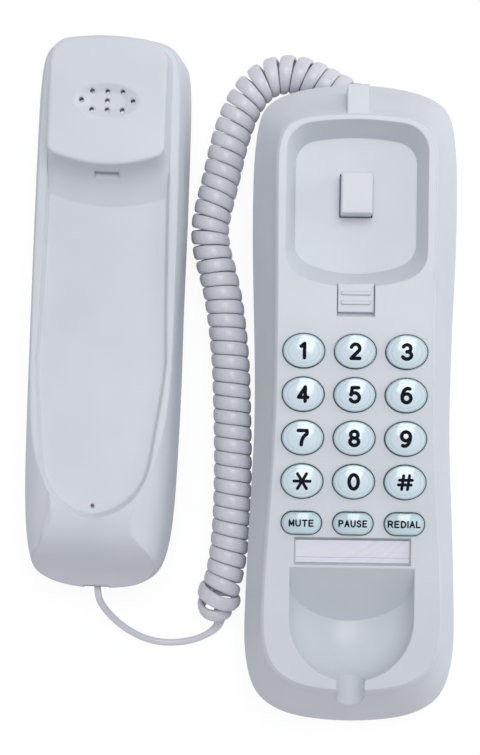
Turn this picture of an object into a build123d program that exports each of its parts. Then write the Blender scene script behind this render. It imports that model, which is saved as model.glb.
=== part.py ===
from build123d import *
import math
import os

os.makedirs("parts", exist_ok=True)

# A slim corded telephone: base and handset side by side on a table, joined by a curly cord.
# Millimetres. Origin at the middle of the base, on the table. +Y is the base's far end, +Z is up.

# Base casing
base_length = 207.5
base_width = 68.2
base_height = 38.0
skirt_bottom = 1.0
skirt_top = 20.0
crown_top = 34.0
crown_share = 0.86
skirt_draft = 1.5
base_wall = 2.4
face_edge_round = 1.0
hollow_edge_round = 0.4
base_outline_shares = [
    (0.0, -1.0), (0.323, -0.994), (0.66, -0.968), (0.865, -0.919), (0.968, -0.838), (1.0, -0.648),
    (0.974, -0.4), (0.935, -0.095), (0.941, 0.152), (0.971, 0.457), (0.975, 0.686), (0.942, 0.845),
    (0.858, 0.925), (0.704, 0.961), (0.381, 0.99), (0.0, 1.0),
]
face_outline_shares = [
    (0.0, -0.884), (0.27, -0.878), (0.54, -0.858), (0.725, -0.815), (0.812, -0.752), (0.839, -0.637),
    (0.804, -0.405), (0.751, -0.096), (0.739, 0.154), (0.748, 0.463), (0.754, 0.694), (0.742, 0.78),
    (0.674, 0.839), (0.543, 0.865), (0.293, 0.878), (0.0, 0.882),
]

# Where an outline's curve is cut: right side, far end, left side, near end, right side
outline_stretch_shares = (0.0, 0.17, 0.33, 0.67, 0.83, 1.0)

# Fits
clearance = 0.3
slip = 0.1
overrun = 2.0

# Earpiece recess
recess_rim_width = 44.7
recess_rim_low = 36.2
recess_rim_high = 89.0
recess_rim_corner = 9.0
recess_floor_width = 39.2
recess_floor_low = 41.2
recess_floor_high = 85.1
recess_floor_corner = 7.5
recess_depth = 10.0
recess_low_bow = 5.2
recess_high_bow = 2.6

# Mouthpiece recess and cord notch
pocket_width = 39.2
pocket_back = -52.2
bowl_depth = 18.0
bowl_floor_radius = 26.0
bowl_floor_half = 15.0
bowl_y = -68.5
pocket_back_slope = 46.5
notch_radius = 4.4
notch_axis_z = 33.6
notch_start = -83.3

# Flat rib across the far end
rib_width = 7.0
rib_end = 100.2
rib_drop = 0.3
rib_foot_start = 95.0
rib_foot_z = 23.5

# Cord bay under the far end
bay_left = -17.0
bay_right = 6.5
bay_depth_y = 87.0
bay_height = 16.0

# Keys
key_column_pitch = 16.2
key_row_pitch = 13.65
key_top_row = 15.9
key_length = 13.0
key_width = 10.6
key_rise = 2.0
key_crown_radius = 20.0
key_flange = 0.5
key_flange_height = 1.2
key_travel = 1.2
function_key_row = -38.2
function_key_length = 12.5
function_key_width = 6.9
function_key_crown_radius = 14.0
key_edge_round = 0.35

# Index card and its window
window_length = 36.7
window_width = 8.6
window_y = -47.1
window_thickness = 1.2
window_pocket_depth = 1.7
card_thickness = 0.4
card_margin = 0.5

# Keypad mat and board
mat_width = 46.0
mat_length = 66.5
mat_thickness = 1.0
pip_radius = 3.0
pip_height = 0.45
pip_gap = 0.15
mat_below_keys = key_travel + pip_height + pip_gap
keypad_board_width = 47.0
keypad_board_length = 73.0
keypad_board_centre_y = -11.0
board_thickness = 1.6
keypad_post_radius = 2.4
keypad_post_inset = 2.4
small_screw_radius = 1.0
small_screw_head_radius = 2.0
small_screw_head_height = 1.3
small_screw_length = 5.0

# Hook switch
plunger_width = 10.0
plunger_length = 13.2
plunger_y = 66.3
plunger_proud = 8.0
plunger_travel = 5.0
plunger_edge_round = 0.5
plunger_flange = 1.5
plunger_flange_height = 1.6
switch_body_width = 17.0
switch_body_length = 20.0
switch_wall = 1.5
spring_radius = 3.0
spring_bore_radius = 2.2

# Handset hanger tab
tab_width = 11.3
tab_low = 28.3
tab_length = 9.0
tab_thickness = 2.0
tab_drop = 0.4
tab_rib_width = 1.1
tab_rib_height = 0.35
tab_slot_gap = 1.3

# Bottom cover, feet and wall mount
cover_bottom = 1.5
cover_thickness = 2.2
foot_radius = 5.0
foot_x = 24.0
foot_y = 76.0
foot_sink = 0.8
keyhole_spacing = 83.0
keyhole_radius = 4.5
keyhole_slot_width = 4.6
keyhole_slot_length = 8.0
cover_screw_x = 25.6
cover_screw_y = 55.0
cover_boss_radius = 3.2
cover_screw_radius = 1.4
cover_screw_head_radius = 2.6
cover_screw_head_height = 1.4
cover_screw_length = 10.0

# Main board and what stands on it
main_board_width = 44.0
main_board_low = -46.0
main_board_high = 71.0
main_board_bottom = 8.0
standoff_radius = 2.6
standoff_inset = 4.0
chip_length = 19.0
chip_width = 7.5
chip_height = 3.6
capacitor_radius = 4.0
capacitor_height = 9.0
transformer_side = 14.0
transformer_height = 10.0
ringer_radius = 12.0
ringer_height = 5.0
ringer_y = -68.0
ringer_collar = 1.2
ringer_slot_count = 5
ringer_slot_width = 1.2

# Modular plugs and jacks, four-way for the handset and six-way for the line
plug_width = 7.65
plug_height = 6.6
plug_length = 14.0
plug_in_jack = 9.0
plug_nose_round = 0.6
jack_wall = 1.6
jack_length = 11.5
base_jack_x = 0.5
line_jack_x = 17.0
line_jack_wall_y = 98.0
line_plug_width = 9.65
line_plug_height = 6.6

# Handset
handset_length = 178.6
handset_width = 49.8
handset_x = -80.6
handset_y = 27.4
handset_rest_z = 0.38
handset_yaw = -1.5
handset_wall = 2.2
parting_height = 14.0
handset_outline_shares = [
    (0.0, -1.0), (0.37, -0.992), (0.635, -0.97), (0.79, -0.934), (0.895, -0.865), (0.96, -0.74),
    (0.992, -0.504), (1.0, -0.112), (1.0, 0.336), (0.992, 0.68), (0.966, 0.86), (0.908, 0.929),
    (0.79, 0.967), (0.45, 0.99), (0.0, 1.0),
]
back_section_shares = [
    (0.0, 0.8, 0.55), (0.1, 0.52, 0.3), (0.3, 0.25, 0.1), (0.6, 0.075, 0.02), (1.0, 0.0, 0.0),
]
side_round_shares = [(0.0, 0.0), (0.35, 0.03), (0.65, 0.1), (0.85, 0.24), (1.0, 0.48)]
end_round_share = 0.3
grip_top_shares = [
    (1.06, 0.0), (0.4, 0.0), (0.15, -0.02), (-0.15, -0.01), (-0.42, 0.1), (-0.6, 0.25),
    (-0.72, 0.31), (-0.8, 0.27), (-0.87, 0.08), (-0.92, -0.15), (-0.97, -0.33), (-1.04, -0.5),
]
grip_height = 30.0
panel_floor_shares = [
    (0.6, -0.055), (0.25, -0.08), (-0.1, -0.075), (-0.42, 0.03), (-0.62, 0.17), (-0.75, 0.235),
]
panel_width = 42.2
panel_neck_width = 38.6
panel_high = 50.0
panel_bend_y = -15.0
panel_end_y = -61.2
panel_end_shares = [(0.951, 0.195), (0.811, 0.541), (0.626, 0.82), (0.277, 0.965), (0.0, 1.0)]
panel_wall_slope = 0.4
block_height = 40.5
block_width = 36.9
block_low = 45.9
block_high = 86.3
block_low_bow = 3.9
block_high_bow = 2.3
block_top_corner = 7.0
block_foot_width = 42.0
block_foot_low = 31.5
block_foot_high = 86.6
block_flare_shares = [(0.0, 0.0), (0.1, 0.36), (0.25, 0.64), (0.5, 0.86), (1.0, 1.0)]
block_foot_corner = 8.0
block_edge_round = 0.7
dish_length = 20.4
dish_width = 10.7
dish_depth = 0.9
dish_floor_share = 0.55
dish_y = 65.9
sound_hole_radius = 0.75
sound_hole_step = 4.8
sound_hole_row_step = 2.9
sound_hole_reach = 8.1
slot_width = 7.6
slot_low = 32.2
slot_height = 2.4
slot_depth = 5.0
microphone_hole_radius = 0.6
microphone_hole_y = -61.3

# Inside the handset
receiver_radius = 15.0
receiver_height = 7.0
gasket_thickness = 1.0
gasket_bore_radius = 10.0
microphone_radius = 4.85
microphone_height = 4.5
boot_wall = 1.2
weight_width = 22.0
weight_length = 62.0
weight_thickness = 6.0
weight_bottom = 3.8
handset_screw_y_shares = (-0.45, 0.42)
handset_boss_radius = 3.4
handset_boss_top = 12.0
handset_screw_seat = 4.0
handset_screw_length = 11.0
handset_jack_z = 14.5
handset_jack_inset = 6.0
jack_rib_width = 8.0

# Curly cord
strand_radius = 1.25
tail_radius = 1.1
coil_outer_radius = 6.4
curl_count = 45.75
open_curls = 1.4
open_curl_growth = 1.5
floor_gap = 0.1
coil_route = [
    (0.5, 101.0), (-5.0, 103.8), (-10.5, 106.6), (-16.0, 109.2), (-22.4, 110.4), (-28.8, 109.0),
    (-34.0, 104.8), (-37.8, 98.6), (-40.4, 91.9), (-42.4, 84.8), (-44.5, 74.5), (-46.8, 65.2),
    (-48.2, 57.5), (-47.2, 50.0), (-45.1, 43.2), (-43.0, 34.2), (-41.5, 24.1), (-40.3, 12.4),
    (-39.8, 0.6), (-39.3, -12.8), (-39.1, -26.2), (-39.4, -39.6), (-40.0, -48.1), (-41.0, -55.8),
    (-42.6, -62.5), (-44.3, -66.5),
]
tail_heading = (-0.75, -0.66)
tail_start = (-42.2, -74.6)
tail_first_run = 7.2
tail_route = [(-56.5, -82.0, 0.0), (-66.5, -81.4, 0.4), (-75.0, -76.8, 3.4), (-80.8, -70.2, 8.6)]
tail_reach = 4.0
tail_bend_share = 0.45
tangent_step = 0.00001
points_per_arc = 8
arcs_skipped = 3
arcs_searched = 10


def mirrored(points):
    """A closed outline from its right half, front to back, begun halfway up the right side."""
    left = [(-x, y) for x, y in reversed(points[1:-1])]
    half = len(points) // 2
    return points[half:] + left + points[:half]


def closed_outline(points, z):
    """The filled outline at height z, its curve cut so that each lofted face stays on one side."""
    curve = Spline(*mirrored(points), periodic=True)
    stretches = [curve.trim(*ends) for ends in zip(outline_stretch_shares, outline_stretch_shares[1:])]
    return Pos(0, 0, z) * make_face(Wire(stretches))


def base_section(z, share, inset):
    """The base's outline at height z: share 0 is the skirt, share 1 the flat face."""
    half_width = base_width / 2
    half_length = base_length / 2
    points = []
    for (skirt_x, skirt_y), (face_x, face_y) in zip(base_outline_shares, face_outline_shares):
        x = skirt_x + share * (face_x - skirt_x)
        y = skirt_y + share * (face_y - skirt_y)
        points.append((x * (half_width - inset), y * (half_length - inset)))
    return closed_outline(points, z)


def base_solid(inset, bottom, drop):
    """The casing's outer form, or with an inset the hollow inside it."""
    edge = hollow_edge_round if inset else face_edge_round
    return loft(
        [
            base_section(bottom, 0, inset + skirt_draft),
            base_section(skirt_top, 0, inset),
            base_section(crown_top - drop, crown_share, inset),
            base_section(base_height - edge - drop, 1, inset),
            base_section(base_height - drop, 1, inset + edge),
        ],
        ruled=True,
    )


def bowed_face(width, low, high, low_bow, high_bow, low_corner, high_corner, z):
    """A rounded rectangle whose two ends bow outwards."""
    half = width / 2
    front = ThreePointArc((-half, low + low_bow), (0, low), (half, low + low_bow))
    right = Line((half, low + low_bow), (half, high - high_bow))
    back = ThreePointArc((half, high - high_bow), (0, high), (-half, high - high_bow))
    left = Line((-half, high - high_bow), (-half, low + low_bow))
    face = make_face(Wire([front, right, back, left]))
    lows = face.vertices().filter_by(lambda v: v.Y < (low + high) / 2)
    face = fillet(lows, low_corner)
    highs = face.vertices().filter_by(lambda v: v.Y > (low + high) / 2).sort_by(Axis.Y)
    face = fillet([v for v in highs if abs(v.Y - (high - high_bow)) < slip], high_corner)
    return Pos(0, 0, z) * face


def recess_solid(grow, top):
    """The earpiece recess, or with grow the tub around it."""
    floor_z = base_height - recess_depth - grow
    floor_face = bowed_face(
        recess_floor_width + 2 * grow, recess_floor_low - grow, recess_floor_high + grow,
        recess_low_bow, recess_high_bow, recess_floor_corner + grow, recess_floor_corner + grow, floor_z,
    )
    rim_face = bowed_face(
        recess_rim_width + 2 * grow, recess_rim_low - grow, recess_rim_high + grow,
        recess_low_bow, recess_high_bow, recess_rim_corner + grow, recess_rim_corner + grow, top,
    )
    return loft([floor_face, rim_face], ruled=True)


def pocket_solid(grow, top):
    """The mouthpiece recess: a shallow bowl with steep sides and a sloping back, or with grow its tub."""
    half = pocket_width / 2
    turn = math.asin(bowl_floor_half / bowl_floor_radius)
    corner_radius = (half - bowl_floor_half) / (1 - math.sin(turn))
    floor_centre_z = base_height - bowl_depth + bowl_floor_radius
    corner_x = half - corner_radius
    corner_z = floor_centre_z - (bowl_floor_radius - corner_radius) * math.cos(turn)

    def on_floor(angle):
        radius = bowl_floor_radius + grow
        return radius * math.sin(angle), floor_centre_z - radius * math.cos(angle)

    def on_corner(angle):
        radius = corner_radius + grow
        return corner_x + radius * math.sin(angle), corner_z - radius * math.cos(angle)

    upright_angle = math.pi / 2
    floor_arc = ThreePointArc(on_floor(0), on_floor(turn / 2), on_floor(turn))
    corner_arc = ThreePointArc(on_floor(turn), on_corner((turn + upright_angle) / 2), (half + grow, corner_z))
    side = Line((half + grow, corner_z), (half + grow, top))
    lid = Line((half + grow, top), (0, top))
    middle = Line((0, top), on_floor(0))
    half_face = Plane.XZ * make_face(Wire([floor_arc, corner_arc, side, lid, middle]))
    at_bowl = Pos(0, bowl_y, 0)
    front_half = at_bowl * revolve(Rot(0, 0, -180) * half_face, Axis.Z, 180)
    trough_length = pocket_back - bowl_y + half
    right_trough = extrude(at_bowl * half_face, amount=trough_length, dir=(0, 1, 0))
    left_trough = mirror(right_trough, about=Plane.YZ)
    slope = math.radians(pocket_back_slope)
    edge_y = pocket_back + grow * (1 + math.tan(slope / 2))
    keep = Pos(0, edge_y, base_height) * Rot(-pocket_back_slope, 0, 0) * Pos(0, -base_length / 2, 0)
    return (front_half + right_trough + left_trough) & (keep * Box(base_width, base_length, base_length))


key_columns = [-key_column_pitch, 0.0, key_column_pitch]
key_names = [["key_1", "key_2", "key_3"], ["key_4", "key_5", "key_6"], ["key_7", "key_8", "key_9"],
             ["key_star", "key_0", "key_hash"]]
function_key_names = ["key_mute", "key_pause", "key_redial"]
face_inner_z = base_height - base_wall
key_flange_top = face_inner_z - clearance
key_bottom = key_flange_top - key_flange_height
mat_top = key_bottom - mat_below_keys
mat_bottom = mat_top - mat_thickness
keypad_board_bottom = mat_bottom - board_thickness


def key_places():
    """Name, x, y, the three sizes of every key, and whether its long sides are straight."""
    places = []
    for row, names in enumerate(key_names):
        for x, name in zip(key_columns, names):
            y = key_top_row - row * key_row_pitch
            places.append((name, x, y, key_length, key_width, key_crown_radius, False))
    for x, name in zip(key_columns, function_key_names):
        places.append((name, x, function_key_row, function_key_length, function_key_width,
                       function_key_crown_radius, True))
    return places


def key_outline(length, width, straight_sided):
    return SlotOverall(length, width) if straight_sided else Ellipse(length / 2, width / 2)


def key_solid(x, y, length, width, crown_radius, straight_sided):
    top = base_height + key_rise
    outline = key_outline(length, width, straight_sided)
    stem = Pos(x, y, key_bottom) * extrude(outline, amount=top - key_bottom)
    ball = Pos(x, y, top - crown_radius) * Sphere(crown_radius)
    crowned = stem & (ball + Pos(x, y, key_bottom) * Box(2 * length, 2 * length, 2 * key_rise))
    rim = crowned.edges().filter_by(lambda e: e.center().Z > base_height)
    crowned = fillet(rim, key_edge_round)
    flange_face = key_outline(length + 2 * key_flange, width + 2 * key_flange, straight_sided)
    flange = Pos(x, y, key_bottom) * extrude(flange_face, amount=key_flange_height)
    return crowned + flange


def key_hole(x, y, length, width, straight_sided):
    face = key_outline(length + 2 * clearance, width + 2 * clearance, straight_sided)
    return Pos(x, y, face_inner_z - overrun) * extrude(face, amount=base_wall + 2 * overrun)


def block_between(x_low, x_high, y_low, y_high, z_low, z_high):
    middle = ((x_low + x_high) / 2, (y_low + y_high) / 2, (z_low + z_high) / 2)
    return Pos(*middle) * Box(x_high - x_low, y_high - y_low, z_high - z_low)


def upright(x, y, radius, z_low, z_high):
    return Pos(x, y, (z_low + z_high) / 2) * Cylinder(radius, z_high - z_low)


def notch_solid(grow, top):
    """The cord notch through the front wall: round below and open above, or with grow its tub."""
    half = notch_radius + grow
    end = -base_length / 2 - overrun
    trough = Pos(0, (notch_start + end) / 2, notch_axis_z) * Rot(90, 0, 0) * Cylinder(half, notch_start - end)
    return trough + block_between(-half, half, end, notch_start, notch_axis_z, top)


cover_top = cover_bottom + cover_thickness
recess_floor_z = base_height - recess_depth
plunger_top = recess_floor_z + plunger_proud
tub_bottom = recess_floor_z - base_wall
tab_top = base_height - tab_drop
tab_bottom = tab_top - tab_thickness
tab_slot_low = tab_low - tab_slot_gap
jack_width = plug_width + 2 * (clearance + jack_wall)
jack_height = plug_height + 2 * (clearance + jack_wall)
jack_axis_z = cover_top + jack_height / 2
base_jack_front = bay_depth_y - base_wall
line_jack_width = line_plug_width + 2 * (clearance + jack_wall)
line_jack_height = line_plug_height + 2 * (clearance + jack_wall)
line_jack_axis_z = cover_top + line_jack_height / 2
keypad_posts = [
    (sx * (keypad_board_width / 2 - keypad_post_inset),
     keypad_board_centre_y + sy * (keypad_board_length / 2 - keypad_post_inset))
    for sx in (-1, 1) for sy in (-1, 1)
]
cover_screws = [(sx * cover_screw_x, sy * cover_screw_y) for sx in (-1, 1) for sy in (-1, 1)]
standoffs = [
    (sx * (main_board_width / 2 - standoff_inset), y)
    for sx in (-1, 1) for y in (main_board_low + standoff_inset, main_board_high - standoff_inset)
]


def base_top_housing():
    outer = base_solid(0, skirt_bottom, 0)
    rim_z = base_height - face_edge_round
    tubs = [recess_solid(base_wall, rim_z), pocket_solid(base_wall, rim_z)]
    tubs.append(notch_solid(base_wall, rim_z) & block_between(
        -base_width, base_width, -base_length, notch_start, 0, rim_z
    ))
    tubs.append(block_between(
        bay_left - base_wall, bay_right + base_wall, base_jack_front, base_length / 2,
        skirt_bottom, bay_height + base_wall,
    ))
    tubs.append(block_between(
        -tab_width / 2 - base_wall, tab_width / 2 + base_wall, tab_slot_low - base_wall, recess_floor_low,
        tab_bottom - slip - base_wall, face_inner_z + slip,
    ))
    tubs.append(block_between(
        -rib_width / 2, rib_width / 2, recess_rim_high, rib_end - base_wall,
        crown_top - 2 * base_wall, crown_top,
    ))
    for x, y in keypad_posts:
        tubs.append(upright(x, y, keypad_post_radius, mat_bottom, face_inner_z + slip))
    boss_top = cover_top + cover_screw_length
    for x, y in cover_screws:
        tubs.append(upright(x, y, cover_boss_radius, cover_top, boss_top))
        web_low = min(x, math.copysign(base_width / 2, x))
        web_high = max(x, math.copysign(base_width / 2, x))
        half_web = base_wall / 2
        tubs.append(block_between(web_low, web_high, y - half_web, y + half_web, cover_top, boss_top))
    tubs = [tub & outer for tub in tubs]
    rib = block_between(-rib_width / 2, rib_width / 2, recess_rim_high, rib_end, crown_top - base_wall,
                        base_height - rib_drop)
    rib += block_between(-rib_width / 2, rib_width / 2, rib_foot_start, rib_end, rib_foot_z, crown_top)
    body = outer - base_solid(base_wall, skirt_bottom - overrun, base_wall)
    body = body.fuse(*tubs, rib)
    rim_face = bowed_face(
        recess_rim_width, recess_rim_low, recess_rim_high, recess_low_bow, recess_high_bow,
        recess_rim_corner, recess_rim_corner, base_height,
    )
    cuts = [recess_solid(0, base_height), extrude(rim_face, amount=overrun)]
    cuts += [pocket_solid(0, base_height + overrun), notch_solid(0, base_height + overrun)]
    cuts.append(block_between(
        bay_left, bay_right, bay_depth_y, base_length / 2 + overrun, -overrun, bay_height
    ))
    plug_gap = plug_width / 2 + clearance
    cuts.append(block_between(
        base_jack_x - plug_gap, base_jack_x + plug_gap, base_jack_front - overrun, bay_depth_y + overrun,
        jack_axis_z - plug_height / 2 - clearance, jack_axis_z + plug_height / 2 + clearance,
    ))
    line_gap = line_jack_width / 2 + clearance
    cuts.append(block_between(
        line_jack_x - line_gap, line_jack_x + line_gap, line_jack_wall_y - base_wall * 3,
        base_length / 2 + overrun, cover_bottom - overrun, cover_top + line_jack_height + clearance,
    ))
    plunger_gap_x = plunger_width / 2 + clearance
    plunger_gap_y = plunger_length / 2 + clearance
    cuts.append(block_between(
        -plunger_gap_x, plunger_gap_x, plunger_y - plunger_gap_y, plunger_y + plunger_gap_y,
        tub_bottom - overrun, recess_floor_z + overrun,
    ))
    slot_half = tab_width / 2 + clearance
    cuts.append(block_between(
        -slot_half, slot_half, tab_slot_low, recess_floor_low, tab_bottom - slip, base_height + overrun
    ))
    for _, x, y, length, width, _, straight_sided in key_places():
        cuts.append(key_hole(x, y, length, width, straight_sided))
    cuts.append(block_between(
        -window_length / 2, window_length / 2, window_y - window_width / 2, window_y + window_width / 2,
        base_height - window_pocket_depth, base_height + overrun,
    ))
    for x, y in keypad_posts:
        hole_low = keypad_board_bottom + board_thickness - overrun
        cuts.append(upright(x, y, small_screw_radius, hole_low, hole_low + overrun + small_screw_length))
    for x, y in cover_screws:
        cuts.append(upright(x, y, cover_screw_radius, cover_top - overrun, boss_top))
    return body.cut(*[solid for cut in cuts for solid in cut.solids()])


def base_bottom_cover():
    inset = base_wall + skirt_draft + clearance
    body = extrude(base_section(cover_bottom, 0, inset), amount=cover_thickness)
    body -= block_between(
        bay_left - base_wall - clearance, bay_right + base_wall + clearance,
        base_jack_front - clearance, base_length, 0, base_height,
    )
    for x in (-foot_x, foot_x):
        for y in (-foot_y, foot_y):
            body -= upright(x, y, foot_radius, 0, cover_bottom + foot_sink)
    for sign in (-1, 1):
        y = sign * keyhole_spacing / 2
        body -= upright(0, y, keyhole_radius, 0, base_height)
        half_slot = keyhole_slot_width / 2
        body -= block_between(-half_slot, half_slot, y, y + keyhole_slot_length, 0, base_height)
        body -= upright(0, y + keyhole_slot_length, half_slot, 0, base_height)
    for x, y in cover_screws:
        body -= upright(x, y, cover_screw_radius + slip, 0, base_height)
        body -= upright(x, y, cover_screw_head_radius + slip, 0, cover_bottom + cover_screw_head_height)
    for index in range(ringer_slot_count):
        x = (index - (ringer_slot_count - 1) / 2) * 3 * ringer_slot_width
        slot_length = ringer_radius
        body -= block_between(
            x - ringer_slot_width / 2, x + ringer_slot_width / 2,
            ringer_y - slot_length / 2, ringer_y + slot_length / 2, 0, base_height,
        )
    collar_top = cover_top + ringer_height / 2
    collar = upright(0, ringer_y, ringer_radius + slip + ringer_collar, cover_top, collar_top)
    collar -= upright(0, ringer_y, ringer_radius + slip, cover_top - overrun, base_height)
    body += collar
    for x, y in standoffs:
        body += upright(x, y, standoff_radius, cover_top, main_board_bottom)
        body -= upright(x, y, small_screw_radius, main_board_bottom - small_screw_length, main_board_bottom)
    return body


def screw_down(x, y, seat_z, radius, length, head_radius, head_height):
    """A screw with its head above the seat and its shank below."""
    head = upright(x, y, head_radius, seat_z, seat_z + head_height)
    shank = upright(x, y, radius, seat_z - length, seat_z + head_height / 2)
    return head + shank


def screw_up(x, y, seat_z, radius, length, head_radius, head_height):
    """A screw with its head below the seat and its shank above."""
    head = upright(x, y, head_radius, seat_z - head_height, seat_z)
    shank = upright(x, y, radius, seat_z - head_height / 2, seat_z + length)
    return head + shank


def cover_screw_group():
    seat = cover_bottom + cover_screw_head_height
    return [
        screw_up(x, y, seat, cover_screw_radius, cover_screw_length - cover_screw_head_height,
                 cover_screw_head_radius, cover_screw_head_height)
        for x, y in cover_screws
    ]


def feet_group():
    return [
        upright(x, y, foot_radius, 0, cover_bottom + foot_sink)
        for x in (-foot_x, foot_x) for y in (-foot_y, foot_y)
    ]


def keypad_parts():
    board = block_between(
        -keypad_board_width / 2, keypad_board_width / 2,
        keypad_board_centre_y - keypad_board_length / 2, keypad_board_centre_y + keypad_board_length / 2,
        keypad_board_bottom, mat_bottom,
    )
    for x, y in keypad_posts:
        board -= upright(x, y, small_screw_radius + slip, 0, base_height)
    mat_middle = keypad_board_centre_y
    mat = block_between(
        -mat_width / 2, mat_width / 2, mat_middle - mat_length / 2, mat_middle + mat_length / 2,
        mat_bottom, mat_top,
    )
    for x, y in keypad_posts:
        mat -= upright(x, y, keypad_post_radius + clearance, 0, base_height)
    for _, x, y, _, width, _, _ in key_places():
        mat += upright(x, y, min(pip_radius, width / 2), mat_top - slip, mat_top + pip_height)
    screws = [
        screw_up(x, y, keypad_board_bottom, small_screw_radius, small_screw_length - slip,
                 small_screw_head_radius, small_screw_head_height)
        for x, y in keypad_posts
    ]
    return board, mat, screws


main_board_top = main_board_bottom + board_thickness


def main_board_parts():
    board = block_between(
        -main_board_width / 2, main_board_width / 2, main_board_low, main_board_high,
        main_board_bottom, main_board_top,
    )
    for x, y in standoffs:
        board -= upright(x, y, small_screw_radius + slip, 0, base_height)
    screws = [
        screw_down(x, y, main_board_top, small_screw_radius, small_screw_length - slip,
                   small_screw_head_radius, small_screw_head_height)
        for x, y in standoffs
    ]
    chip_y = main_board_low + chip_length
    parts = [
        block_between(-chip_length / 2, chip_length / 2, chip_y, chip_y + chip_width,
                      main_board_top, main_board_top + chip_height),
        block_between(-transformer_side / 2, transformer_side / 2, chip_y + 2 * chip_width,
                      chip_y + 2 * chip_width + transformer_side, main_board_top,
                      main_board_top + transformer_height),
    ]
    for sign in (-1, 1):
        x = sign * (transformer_side / 2 + 2 * capacitor_radius)
        parts.append(upright(x, chip_y + 2 * chip_width, capacitor_radius, main_board_top,
                             main_board_top + capacitor_height))
    return board, screws, parts


flange_top = tub_bottom - clearance
flange_bottom = flange_top - plunger_flange_height


def hook_switch_parts():
    """The plunger, the housing that guides it and the spring under it."""
    head = block_between(
        -plunger_width / 2, plunger_width / 2, plunger_y - plunger_length / 2, plunger_y + plunger_length / 2,
        flange_bottom, plunger_top,
    )
    top_edges = head.faces().sort_by(Axis.Z)[-1].edges()
    upright_edges = head.edges().filter_by(Axis.Z)
    head = fillet(top_edges + upright_edges, plunger_edge_round)
    flange = block_between(
        -plunger_width / 2 - plunger_flange, plunger_width / 2 + plunger_flange,
        plunger_y - plunger_length / 2 - plunger_flange, plunger_y + plunger_length / 2 + plunger_flange,
        flange_bottom, flange_top,
    )
    plunger = head + flange
    housing = block_between(
        -switch_body_width / 2, switch_body_width / 2,
        plunger_y - switch_body_length / 2 - clearance, main_board_high,
        main_board_top, flange_bottom - plunger_travel - clearance,
    )
    seat_z = main_board_top + switch_wall
    housing -= upright(0, plunger_y, spring_radius + clearance, seat_z, base_height)
    spring = upright(0, plunger_y, spring_radius, seat_z, flange_bottom)
    spring -= upright(0, plunger_y, spring_bore_radius, 0, base_height)
    return plunger, housing, spring


def hanger_tab():
    body = block_between(
        -tab_width / 2, tab_width / 2, tab_low, tab_low + tab_length, tab_bottom, tab_top
    )
    for share in (1 / 3, 2 / 3):
        y = tab_low + share * tab_length
        body += block_between(
            -tab_width / 2 + tab_rib_width, tab_width / 2 - tab_rib_width,
            y - tab_rib_width / 2, y + tab_rib_width / 2, tab_top - slip, tab_top + tab_rib_height,
        )
    return body


def index_parts():
    card_bottom = base_height - window_pocket_depth
    card = block_between(
        -window_length / 2 + card_margin, window_length / 2 - card_margin,
        window_y - window_width / 2 + card_margin, window_y + window_width / 2 - card_margin,
        card_bottom, card_bottom + card_thickness,
    )
    window = block_between(
        -window_length / 2 + slip, window_length / 2 - slip,
        window_y - window_width / 2 + slip, window_y + window_width / 2 - slip,
        card_bottom + card_thickness, card_bottom + card_thickness + window_thickness,
    )
    return card, window


def jack_solid(width, height, plug_w, plug_h, plug_depth):
    """A socket with its mouth at y 0, its body towards -y and its axis at z 0."""
    body = block_between(-width / 2, width / 2, -jack_length, 0, -height / 2, height / 2)
    gap_x = plug_w / 2 + clearance
    gap_z = plug_h / 2 + clearance
    body -= block_between(-gap_x, gap_x, -plug_depth, overrun, -gap_z, gap_z)
    return body


def plug_solid():
    """A plug with its nose at y 0 and its cord end towards +y."""
    body = block_between(
        -plug_width / 2, plug_width / 2, 0, plug_length, -plug_height / 2, plug_height / 2
    )
    nose = body.faces().sort_by(Axis.Y)[0].edges()
    return fillet(nose, plug_nose_round)


def handset_section(z, side_inset, end_inset):
    half_width = handset_width / 2 - side_inset
    half_length = handset_length / 2 - end_inset
    points = [(x * half_width, y * half_length) for x, y in handset_outline_shares]
    return closed_outline(points, z)


def grip_profile(shares, drop):
    """A solid under a lengthwise curve, as wide as the handset."""
    half = handset_length / 2
    points = [(y * half, grip_height * (1 + z) - drop) for y, z in shares]
    curve = Spline(*points)
    down = Line(points[-1], (points[-1][0], parting_height - overrun))
    under = Line((points[-1][0], parting_height - overrun), (points[0][0], parting_height - overrun))
    up = Line((points[0][0], parting_height - overrun), points[0])
    face = Plane.YZ * make_face(Wire([curve, down, under, up]))
    return extrude(Pos(-handset_width, 0, 0) * face, amount=2 * handset_width)


def grip_solid(inset, drop, shares):
    """The handset above its parting line, without the earpiece block; its sides round over upwards."""
    top = grip_height * (1 + max(z for _, z in grip_top_shares)) + slip
    sections = []
    for height_share, round_share in side_round_shares:
        z = parting_height + height_share * (top - parting_height)
        rounding = round_share * handset_width / 2
        sections.append(handset_section(z, inset + rounding, inset + end_round_share * rounding))
    return loft(sections) & grip_profile(shares, drop)


def earpiece_block(inset, top):
    """The block that holds the receiver: its foot flares out over the grip panel."""
    foot_z = grip_height * (1 + panel_floor_shares[1][1]) - clearance
    sections = []
    for height_share, in_share in block_flare_shares:
        z = foot_z + height_share * (top - foot_z)
        width = block_foot_width + in_share * (block_width - block_foot_width)
        low = block_foot_low + in_share * (block_low - block_foot_low)
        high = block_foot_high + height_share * (block_high - block_foot_high)
        corner = block_foot_corner + height_share * (block_top_corner - block_foot_corner)
        sections.append(bowed_face(
            width - 2 * inset, low + inset, high - inset, block_low_bow, block_high_bow,
            corner / 2, corner, z,
        ))
    return loft(sections)


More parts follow.
